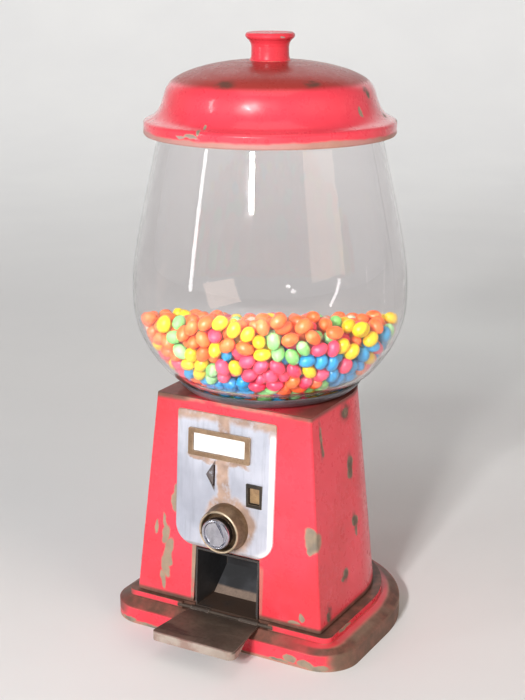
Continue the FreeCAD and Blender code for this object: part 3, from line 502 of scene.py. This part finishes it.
def tray_wear(g, col, r):
    """Dark streaks across the tray, a rubbed pale lip and a dark back edge."""
    x, y, z = g.xyz()
    n = g.noise(60.0, 4.0, seed=3.0)
    lip = g.m("MULTIPLY", g.step(g.m("ADD", z, g.m("MULTIPLY", n, 0.0008)), 0.0178, 0.0168), g.step(y, -0.080, -0.090))
    front = g.m("MULTIPLY", g.step(y, -0.1036, -0.1054), 1.0)
    lip = g.m("MAXIMUM", lip, front)
    e = g.m("MULTIPLY", g.step(g.edge(0.0009), 0.06, 0.24), g.step(g.noise(80.0, 4.0, seed=1.0), 0.35, 0.55))
    s = g.step(g.noise(60.0, 5.0, 0.7, vec=g.stretch(0.35, 1.0, 1.0), seed=6.0), 0.50, 0.72)
    col = g.mix(g.m("MULTIPLY", s, 0.55), col, (0.150, 0.118, 0.088))
    k = g.m("MULTIPLY", g.step(g.noise(34.0, 6.0, 0.75, vec=g.stretch(0.45, 1.5, 1.0), seed=12.0), 0.56, 0.66), 0.85)
    col = g.mix(k, col, (0.028, 0.021, 0.016))
    back = g.step(y, -0.078, -0.066)
    col = g.mix(g.m("MULTIPLY", back, 0.65), col, (0.042, 0.028, 0.022))
    pale = g.mix(g.step(g.noise(70.0, 4.0, seed=3.0), 0.40, 0.60), (0.50, 0.42, 0.36), (0.36, 0.24, 0.20))
    pale = g.mix(g.m("MULTIPLY", g.step(g.noise(26.0, 3.0, seed=9.4), 0.45, 0.6), 0.55), pale, (0.24, 0.17, 0.13))
    col = g.mix(g.m("MAXIMUM", g.m("MULTIPLY", lip, 0.85), g.m("MULTIPLY", e, 0.5)), col, pale)
    return col, r


assign(["tray_flap"], metal("tray_metal", (0.108, 0.083, 0.060), (0.066, 0.049, 0.036), rough=(0.45, 0.68), metallic=0.15, scale=40.0,
                            grime=0.35, bump=0.00018, wear=tray_wear))
assign(["tray_pin"], metal("pin_dark", (0.085, 0.062, 0.046), (0.05, 0.036, 0.028), rough=(0.5, 0.7), metallic=0.3, scale=90.0))
assign(["coin_guide"], metal("guide_dark", (0.045, 0.036, 0.030), (0.025, 0.020, 0.018), rough=(0.5, 0.7), metallic=0.3, scale=90.0))
assign(["chute_box"], metal("chute_dark", (0.034, 0.034, 0.037), (0.020, 0.019, 0.020), rough=(0.45, 0.65), metallic=0.1, scale=50.0,
                            grime=0.3, edge_light=(0.16, 0.12, 0.09), wear=lambda g, c, r: (
                                g.mix(g.m("MULTIPLY", g.step(g.xyz()[2], 0.0226, 0.0208), g.step(g.noise(60.0, 4.0), 0.2, 0.5)),
                                      c, (0.060, 0.036, 0.025)), r)))


def ramp_wear(g, col, r):
    """Only the foot of the ramp is rubbed to tan; above it is dark like the box."""
    z = g.m("ADD", g.xyz()[2], g.m("MULTIPLY", g.m("SUBTRACT", g.noise(70.0, 4.0, seed=2.0), 0.5), 0.0020))
    dark = g.mix(g.step(g.noise(45.0, 4.0, seed=7.0), 0.4, 0.65), (0.062, 0.062, 0.068), (0.036, 0.036, 0.038))
    f = g.step(z, 0.0236, 0.0250)
    return g.mix(f, col, dark), g.mixf(f, r, 0.5)


assign(["chute_ramp"], metal("ramp_tan", (0.34, 0.245, 0.19), (0.22, 0.16, 0.125), rough=(0.4, 0.6), metallic=0.15, scale=60.0,
                             wear=ramp_wear))


def plastic(name, a, b, rough, scale=120.0, bump=0.0001, **kw):
    g = Graph(name, IOR=1.5, **kw)
    n = g.noise(scale, 5.0, 0.6)
    col = g.mix(g.step(n, 0.35, 0.7), a, b)
    g.set("Base Color", col)
    g.set("Roughness", g.mixf(g.noise(scale * 3.0, 2.0, seed=2.0), rough[0], rough[1]))
    g.set("Normal", g.bump(g.noise(scale * 6.0, 3.0), bump, 0.5))
    return g.mat


assign(["dispensing_wheel", "drop_tube"], plastic("nylon", (0.66, 0.62, 0.54), (0.52, 0.47, 0.39), (0.4, 0.6)))
assign(["globe_gasket", "lid_gasket"], plastic("rubber_black", (0.03, 0.03, 0.032), (0.05, 0.048, 0.045), (0.6, 0.85)))
g = Graph("label_card", IOR=1.45)
fib = g.noise(500.0, 4.0, 0.7, vec=g.stretch(0.35, 1.0, 1.0))
col = g.mix(g.step(g.noise(50.0, 4.0), 0.55, 0.8), (0.93, 0.92, 0.90), (0.80, 0.76, 0.68))
col = g.mix(g.m("MULTIPLY", g.step(fib, 0.5, 0.8), 0.25), col, (0.70, 0.66, 0.58))
g.set("Base Color", col)
g.set("Roughness", g.mixf(fib, 0.5, 0.75))
g.set("Normal", g.bump(fib, 0.00005, 0.4))
assign(["price_card"], g.mat)

# ------------------------------------------------------------------ glass
g = Graph("globe_glass", IOR=1.46, Roughness=0.0, Transmission_Weight=1.0, Base_Color=(0.955, 0.938, 0.942, 1.0))
sm = g.noise(22.0, 5.0, 0.65)
g.set("Roughness", g.mixf(g.step(sm, 0.45, 0.8), 0.0, 0.06))
g.set("Normal", g.bump(g.noise(9.0, 2.0, 0.5, seed=3.0), 0.0012, 0.15))
lp = g.t.nodes.new("ShaderNodeLightPath")
tr = g.t.nodes.new("ShaderNodeBsdfTransparent")
tr.inputs[0].default_value = (0.93, 0.95, 0.95, 1.0)
mx = g.t.nodes.new("ShaderNodeMixShader")
g.t.links.new(lp.outputs["Is Shadow Ray"], mx.inputs[0])
g.t.links.new(g.b.outputs[0], mx.inputs[1])
g.t.links.new(tr.outputs[0], mx.inputs[2])
g.t.links.new(mx.outputs[0], g.out.inputs[0])
assign(["globe"], g.mat)

# ------------------------------------------------------------------ candy beans
R_TAB = [(166.9, 47.5), (167.6, 48.5), (170.8, 53.1), (172.2, 54.6), (174.8, 57.6), (177.2, 61.6), (186.0, 73.0), (196.0, 80.2),
         (206.0, 84.9), (218.0, 88.2), (232.0, 89.1), (246.0, 88.6), (262.0, 86.2)]
RZ = np.array([a for a, b in R_TAB])
RR = np.array([b for a, b in R_TAB])
SEMI_A, SEMI_B, HALF = 5.95, 4.45, 1.5


def surf(p):
    d = p[:, 0] * math.sin(AZ) - p[:, 1] * math.cos(AZ)
    lat = p[:, 0] * math.cos(AZ) + p[:, 1] * math.sin(AZ)
    return 213.5 + 0.27 * d + 6.0 * (lat / 90.0) ** 2


def wall(P, rs):
    """Pushes sphere centres of radius rs inside the glass, the collar's cone and the floor."""
    z = np.maximum(P[:, 2], 167.0)
    R = np.interp(z, RZ, RR)
    dR = (np.interp(z + 1.0, RZ, RR) - np.interp(z - 1.0, RZ, RR)) / 2.0
    rho = np.hypot(P[:, 0], P[:, 1]) + 1e-6
    k = np.sqrt(1.0 + dR * dR)
    gap = (R - rho) / k - rs
    push = np.minimum(gap, 0.0)
    P[:, 0] += push / k * P[:, 0] / rho
    P[:, 1] += push / k * P[:, 1] / rho
    P[:, 2] -= push / k * dR
    P[:, 2] = np.maximum(P[:, 2], 167.4 + rs)
    return P


def pack(count, steps, seed=11):
    rng = np.random.default_rng(seed)
    c = []
    while len(c) < count:
        q = np.array([rng.uniform(-84, 84), rng.uniform(-84, 84), rng.uniform(172, 242)])
        if math.hypot(q[0], q[1]) < np.interp(q[2], RZ, RR) - 5 and q[2] < surf(q[None])[0] - 2:
            c.append(q)
    c = np.array(c)
    u = rng.normal(size=(count, 3))
    u /= np.linalg.norm(u, axis=1, keepdims=True)
    lift = rng.uniform(-1.2, 3.4, count)
    I = J = None
    for it in range(steps):
        if it % 10 == 0:
            order = np.argsort(c[:, 2])
            zs = c[order, 2]
            hi = np.searchsorted(zs, zs + 14.0)
            ii, jj = [], []
            for a in range(count):
                b = order[a + 1:hi[a]]
                if len(b):
                    d = c[b] - c[order[a]]
                    b = b[(d * d).sum(1) < 196.0]
                    ii.append(np.full(len(b), order[a]))
                    jj.append(b)
            I, J = np.concatenate(ii), np.concatenate(jj)
        P = np.concatenate([c + HALF * u, c - HALF * u])
        move = np.zeros_like(P)
        hits = np.zeros(len(P))
        for a in (0, count):
            for b in (0, count):
                i, j = I + a, J + b
                d = P[j] - P[i]
                l = np.sqrt((d * d).sum(1)) + 1e-6
                o = np.maximum(2 * SEMI_B - l, 0.0)
                w = (o / l * 0.5)[:, None] * d
                for k in range(3):
                    move[:, k] += np.bincount(j, w[:, k], len(P)) - np.bincount(i, w[:, k], len(P))
                on = (o > 0).astype(float)
                hits += np.bincount(i, on, len(P)) + np.bincount(j, on, len(P))
        P += move / np.maximum(hits, 1.0)[:, None] * 1.35
        P[:, 2] -= 0.05
        s = surf(P) + np.concatenate([lift, lift]) - SEMI_B
        over = np.maximum(P[:, 2] - s, 0.0)
        P[:, 2] -= over * 0.5
        P = wall(P, SEMI_B + 0.1)
        a, b = P[:count], P[count:]
        c = (a + b) / 2.0
        u = a - b
        u /= np.linalg.norm(u, axis=1, keepdims=True) + 1e-9
    P = wall(np.concatenate([c + HALF * u, c - HALF * u]), SEMI_B + 0.1)
    c = (P[:count] + P[count:]) / 2.0
    u = P[:count] - P[count:]
    u /= np.linalg.norm(u, axis=1, keepdims=True)
    return c, u


COUNT = 1090
centre, axis = pack(COUNT, 170)

# groups of one colour seen against the glass: azimuth from the front (degrees, + to the right), height (mm)
GROUPS = {
    "blue": [(37, 204), (44, 204), (51, 203), (59, 204), (74, 186), (77, 192), (80, 199), (86, 205), (92, 212), (-9, 185), (-1, 183),
             (7, 182), (12, 184), (66, 190), (100, 200), (150, 190), (-80, 200), (-130, 210), (-160, 195)],
    "green": [(-16, 211), (-15, 205), (21, 210), (36, 211), (42, 212), (-2, 191), (25, 182), (58, 182), (-18, 215), (98, 208), (74, 208),
              (-60, 205), (130, 214), (-110, 190), (170, 206)],
    "yellow": [(21, 221), (29, 213), (7, 212), (-12, 201), (-8, 196), (14, 196), (48, 197), (-31, 220), (-24, 217), (-16, 219), (74, 222),
               (66, 214), (78, 220), (66, 206), (-70, 215), (110, 218), (160, 200), (-140, 200), (10, 229), (13, 228)],
    "pink": [(3, 219), (5, 224), (-1, 212), (0, 204), (2, 200), (15, 204), (20, 204), (28, 203), (20, 198), (22, 190), (38, 196), (7, 198),
             (-5, 236), (5, 233), (37, 232), (50, 211), (65, 196), (30, 196), (33, 188), (45, 190), (120, 205), (-50, 195), (-100, 220),
             (180, 215), (-170, 185)],
    "orange": [(27, 226), (33, 226), (14, 221), (35, 220), (41, 219), (-14, 230), (-8, 226), (0, 228), (45, 226), (52, 225), (60, 224),
               (-28, 208), (-22, 205), (42, 188), (36, 184), (50, 184), (-2, 218), (-5, 208), (90, 224), (-34, 214), (85, 216), (20, 214)],
}
rng = np.random.default_rng(5)
phi = np.degrees(np.arctan2(centre[:, 0], -centre[:, 1]))
depth = surf(centre) - centre[:, 2]
outer = np.interp(centre[:, 2], RZ, RR) - np.hypot(centre[:, 0], centre[:, 1])
colour = []
for i in range(COUNT):
    best, name = 9e9, None
    if outer[i] < 10.5:
        R = np.interp(centre[i, 2], RZ, RR)
        for k, L in GROUPS.items():
            for a, z in L:
                da = (phi[i] - a + 180) % 360 - 180
                d = math.hypot(math.radians(da) * R, centre[i, 2] - z)
                if d < best:
                    best, name = d, k
    if best < (6.0 if name == "yellow" else 7.2):
        colour.append(name)
        continue
    t = rng.random()
    if depth[i] < 9:
        w = [("orange", 0.60), ("pink", 0.16), ("yellow", 0.12), ("green", 0.07), ("pale", 0.03), ("blue", 0.02)]
    elif depth[i] < 24:
        w = [("orange", 0.46), ("pink", 0.22), ("yellow", 0.14), ("green", 0.12), ("pale", 0.02), ("blue", 0.04)]
    elif depth[i] < 40:
        w = [("pink", 0.40), ("orange", 0.28), ("yellow", 0.12), ("green", 0.09), ("blue", 0.11)]
    else:
        w = [("blue", 0.26), ("green", 0.16), ("orange", 0.30), ("pink", 0.18), ("yellow", 0.10)]
    acc = 0.0
    for k, p in w:
        acc += p
        if t <= acc:
            break
    colour.append(k)
colour = np.array(colour)


def bean_mesh(name, idx, seed):
    """Smooth egg-like beans, each a slightly different size, joined into one mesh."""
    r = np.random.default_rng(seed)
    SEG, RING = 14, 9
    base = [(0, 0, 1.0)]
    for i in range(1, RING):
        th = math.pi * i / RING
        for j in range(SEG):
            ph = 2 * math.pi * j / SEG
            base.append((math.sin(th) * math.cos(ph), math.sin(th) * math.sin(ph), math.cos(th)))
    base.append((0, 0, -1.0))
    base = np.array(base)
    faces = []
    for j in range(SEG):
        faces.append((0, 1 + j, 1 + (j + 1) % SEG))
    for i in range(RING - 2):
        for j in range(SEG):
            a = 1 + i * SEG + j
            b = 1 + i * SEG + (j + 1) % SEG
            faces.append((a, a + SEG, b + SEG, b))
    last = len(base) - 1
    s0 = 1 + (RING - 2) * SEG
    for j in range(SEG):
        faces.append((s0 + j, last, s0 + (j + 1) % SEG))
    V, F = [], []
    for n, i in enumerate(idx):
        ax = Vector(axis[i])
        q = ax.to_track_quat("Z", "Y").to_matrix()
        k = r.uniform(0.94, 1.0)
        flat = r.uniform(0.95, 1.0)
        sc = np.array([SEMI_B * k, SEMI_B * k * flat, SEMI_A * k * r.uniform(0.96, 1.0)])
        p = base * sc
        p[:, 2] += 0.35 * (p[:, 0] / SEMI_B) ** 2 * r.uniform(-1, 1)
        p = p @ np.array(q).T + centre[i]
        F += [tuple(v + len(base) * n for v in f) for f in faces]
        V.append(p / 1000.0)
    me = bpy.data.meshes.new(name)
    me.from_pydata(np.concatenate(V).tolist(), [], F)
    me.polygons.foreach_set("use_smooth", [True] * len(me.polygons))
    me.update()
    o = bpy.data.objects.new(name, me)
    COLL.objects.link(o)
    return o


def candy_mat(name, a, b):
    g = Graph(name, IOR=1.48, Subsurface_Weight=0.12, Subsurface_Scale=0.002, Coat_Weight=0.25, Coat_Roughness=0.15)
    v = g.t.nodes.new("ShaderNodeTexVoronoi")
    v.inputs["Scale"].default_value = 105.0
    g.put(v.inputs["Vector"], g.co)
    tone = g.t.nodes.new("ShaderNodeSeparateColor")
    g.put(tone.inputs[0], v.outputs["Color"])
    col = g.mix(tone.outputs[0], a, b)
    sp = g.noise(900.0, 3.0, 0.7)
    col = g.mix(g.m("MULTIPLY", g.step(sp, 0.55, 0.75), 0.25), col, [min(1.0, c * 1.3 + 0.05) for c in a])
    g.set("Base Color", col)
    g.set("Roughness", g.mixf(g.noise(260.0, 3.0, seed=1.0), 0.24, 0.42))
    g.set("Normal", g.bump(g.noise(420.0, 4.0, 0.6, seed=2.0), 0.00012, 0.5))
    return g.mat


CANDY = {
    "orange": ((0.90, 0.125, 0.018), (0.96, 0.21, 0.055)), "pink": ((0.84, 0.035, 0.095), (0.90, 0.085, 0.18)),
    "yellow": ((0.88, 0.52, 0.004), (0.95, 0.66, 0.012)), "green": ((0.20, 0.56, 0.14), (0.36, 0.72, 0.32)),
    "blue": ((0.008, 0.24, 0.56), (0.02, 0.36, 0.68)), "pale": ((0.86, 0.42, 0.30), (0.70, 0.78, 0.55)),
}
for n, (k, (a, b)) in enumerate(CANDY.items()):
    idx = np.nonzero(colour == k)[0]
    o = bean_mesh("candy_" + k, idx, 40 + n)
    o.data.materials.append(candy_mat("candy_" + k, a, b))
    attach(o, "frame")
    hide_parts("gum_fill")


# ------------------------------------------------------------------ springs
def spring(name, centre_mm, radius, wire, turns, y0, y1, body, node):
    cu = bpy.data.curves.new(name, "CURVE")
    cu.dimensions = "3D"
    cu.bevel_depth = wire / 1000.0
    cu.bevel_resolution = 3
    sp = cu.splines.new("POLY")
    n = turns * 20
    sp.points.add(n)
    for i in range(n + 1):
        a = 2 * math.pi * turns * i / n
        sp.points[i].co = ((centre_mm[0] + radius * math.cos(a)) / 1000, (y0 + (y1 - y0) * i / n) / 1000,
                           (centre_mm[1] + radius * math.sin(a)) / 1000, 1)
    tmp = bpy.data.objects.new(name + "_c", cu)
    COLL.objects.link(tmp)
    bpy.context.view_layer.update()
    me = bpy.data.meshes.new_from_object(tmp.evaluated_get(bpy.context.evaluated_depsgraph_get()))
    bpy.data.objects.remove(tmp)
    o = bpy.data.objects.new(name, me)
    me.name = name
    COLL.objects.link(o)
    me.polygons.foreach_set("use_smooth", [True] * len(me.polygons))
    me.materials.clear()
    me.materials.append(STEEL)
    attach(o, body)
    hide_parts(node)
    return o


spring("button_coil", (19.9, 106.6), 2.9, 0.3, 4, -50.15, -48.75, "button", "button_spring")
spring("pawl_coil", (19.0, 71.0), 2.85, 0.35, 4, -49.4, -47.2, "pawl", "pawl_spring")


# ------------------------------------------------------------------ floor, backdrop, light
def stage_floor():
    me = bpy.data.meshes.new("floor")
    prof = [(-4.0, 0.0)] + [(1.9 + 1.2 * math.sin(a), 1.2 - 1.2 * math.cos(a)) for a in np.linspace(0, math.pi / 2, 14)] + [(3.1, 4.0)]
    V, F = [], []
    rot = Matrix.Rotation(AZ, 3, "Z")
    for s in (-5.0, 5.0):
        for y, z in prof:
            V.append(tuple(rot @ Vector((s, y, z))))
    n = len(prof)
    for i in range(n - 1):
        F.append((i, i + 1, n + i + 1, n + i))
    me.from_pydata(V, [], F)
    me.polygons.foreach_set("use_smooth", [True] * len(me.polygons))
    o = bpy.data.objects.new("floor", me)
    COLL.objects.link(o)
    g = Graph("floor_pale", Specular_IOR_Level=0.2)
    g.set("Base Color", g.mix(g.step(g.noise(3.0, 3.0), 0.3, 0.7), (0.80, 0.80, 0.79), (0.77, 0.77, 0.765)))
    g.set("Roughness", g.mixf(g.noise(30.0, 3.0), 0.75, 0.9))
    me.materials.append(g.mat)


stage_floor()
w = bpy.data.worlds.new("studio")
scene.world = w
w.use_nodes = True
wt = w.node_tree
bg = wt.nodes["Background"]
tc = wt.nodes.new("ShaderNodeTexCoord")
sep = wt.nodes.new("ShaderNodeSeparateXYZ")
ramp = wt.nodes.new("ShaderNodeValToRGB")
ramp.color_ramp.elements[0].position = 0.05
ramp.color_ramp.elements[0].color = (0.43, 0.435, 0.45, 1.0)
ramp.color_ramp.elements[1].position = 0.55
ramp.color_ramp.elements[1].color = (0.12, 0.12, 0.125, 1.0)
wt.links.new(tc.outputs["Generated"], sep.inputs[0])
wt.links.new(sep.outputs[2], ramp.inputs[0])
wt.links.new(ramp.outputs[0], bg.inputs[0])
bg.inputs[1].default_value = 0.85


def area(name, az, el, dist, aim_z, size, size_y, power, color=(1, 1, 1)):
    """A rectangular softbox, az degrees to the right of the front and el above the horizon."""
    l = bpy.data.lights.new(name, "AREA")
    l.shape = "RECTANGLE"
    l.size, l.size_y = size, size_y
    l.energy = power
    l.color = color
    o = bpy.data.objects.new(name, l)
    COLL.objects.link(o)
    a, e = math.radians(az), math.radians(el)
    d = Vector((math.sin(a) * math.cos(e), -math.cos(a) * math.cos(e), math.sin(e)))
    o.location = Vector((0, 0, aim_z)) + d * dist
    o.rotation_mode = "QUATERNION"
    o.rotation_quaternion = (-d).to_track_quat("-Z", "Y")
    return o


area("key_a", 6.5, 23.0, 1.7, 0.22, 0.12, 0.12, 15.5, (1.0, 0.99, 0.985))
area("key_b", 12.0, 17.5, 1.7, 0.22, 0.12, 0.12, 15.5, (1.0, 0.99, 0.985))
area("strip", -37, 12, 1.5, 0.28, 0.06, 0.9, 2.2)
area("fill", 78, 20, 2.0, 0.2, 1.1, 1.1, 12.0, (1.0, 0.76, 0.62)).visible_glossy = False
area("top", 20, 78, 1.8, 0.2, 1.2, 1.2, 2.5)
# a wash on the backdrop, facing away from the object
wash = area("wash", 0, 0, 1.0, 0.0, 5.0, 1.0, 70.0)
rot = Matrix.Rotation(AZ, 3, "Z")
wash.location = rot @ Vector((0.0, 1.5, 2.6))
wash.rotation_quaternion = (rot @ Vector((0.0, 1.6, -0.9))).to_track_quat("-Z", "Y")
wash.visible_camera = wash.visible_glossy = wash.visible_transmission = False
